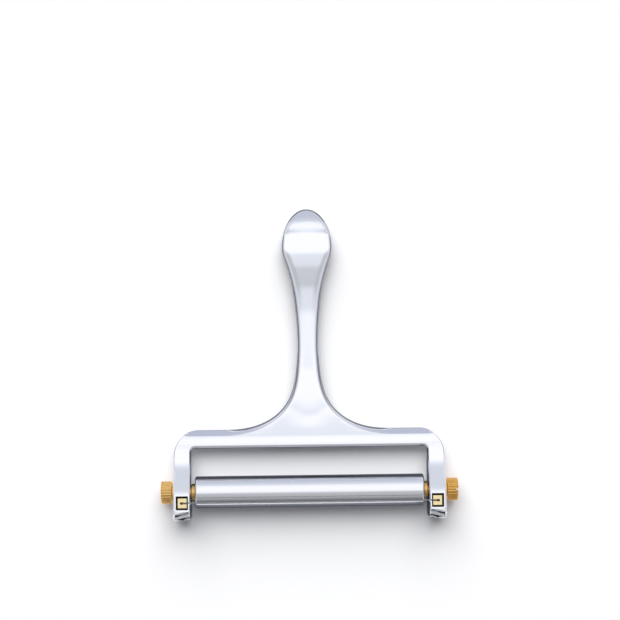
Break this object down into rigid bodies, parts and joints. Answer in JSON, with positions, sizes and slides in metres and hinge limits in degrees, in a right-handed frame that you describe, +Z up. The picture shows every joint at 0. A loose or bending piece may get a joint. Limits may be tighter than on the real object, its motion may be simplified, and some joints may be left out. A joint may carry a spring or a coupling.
{
  "type": "wire cheese slicer",
  "caption": "Cast chrome wire cheese slicer: bulb-ended handle, crossbar and two arms, free-turning steel roller, thin cutting wire held by brass blocks and tensioned by thumb screws.",
  "frame": {"origin": "under the middle of the slicer, on the surface it lies on with the wire side up", "axes": "+X along the roller, +Y along the handle towards its tip, +Z up, towards the wire side"},
  "size_m": [0.1308, 0.1366, 0.0185],
  "materials": {
    "cast_frame": "polished chrome plate",
    "roller_steel": "polished stainless steel",
    "screw_brass": "turned brass",
    "block_brass": "milled brass",
    "bush_brass": "turned brass",
    "wire_steel": "drawn stainless steel wire"
  },
  "bodies": {
    "frame_body": {"frame": "cast_frame", "cutting_wire": "wire_steel", "left_wire_bead": "wire_steel", "right_wire_bead": "wire_steel"},
    "roller": {"roller_tube": "roller_steel", "left_roller_bush": "bush_brass", "right_roller_bush": "bush_brass"},
    "left_screw": {"left_thumb_screw": "screw_brass"},
    "right_screw": {"right_thumb_screw": "screw_brass"},
    "left_block": {"left_wire_block": "block_brass"},
    "right_block": {"right_wire_block": "block_brass"}
  },
  "joints": [
    {"name": "roller_spin", "type": "hinge", "parent": "frame_body", "child": "roller", "pos_m": [0, -0.05615, 0.008], "axis": [1, 0, 0], "continuous": true},
    {"name": "left_screw_turn", "type": "hinge", "parent": "frame_body", "child": "left_screw", "pos_m": [-0.0598, -0.05615, 0.008], "axis": [-1, 0, 0], "range_deg": [0, 180]},
    {"name": "left_block_slide", "type": "slide", "parent": "frame_body", "child": "left_block", "axis": [1, 0, 0], "range_m": [0, 0.0004]},
    {"name": "right_screw_turn", "type": "hinge", "parent": "frame_body", "child": "right_screw", "pos_m": [0.0598, -0.05615, 0.008], "axis": [1, 0, 0], "range_deg": [0, 180]},
    {"name": "right_block_slide", "type": "slide", "parent": "frame_body", "child": "right_block", "axis": [-1, 0, 0], "range_m": [0, 0.0004]}
  ],
  "couplings": [
    {"joint": "left_screw_turn", "follows": "left_block_slide", "rad_per_m": 7854},
    {"joint": "right_screw_turn", "follows": "right_block_slide", "rad_per_m": 7854}
  ]
}
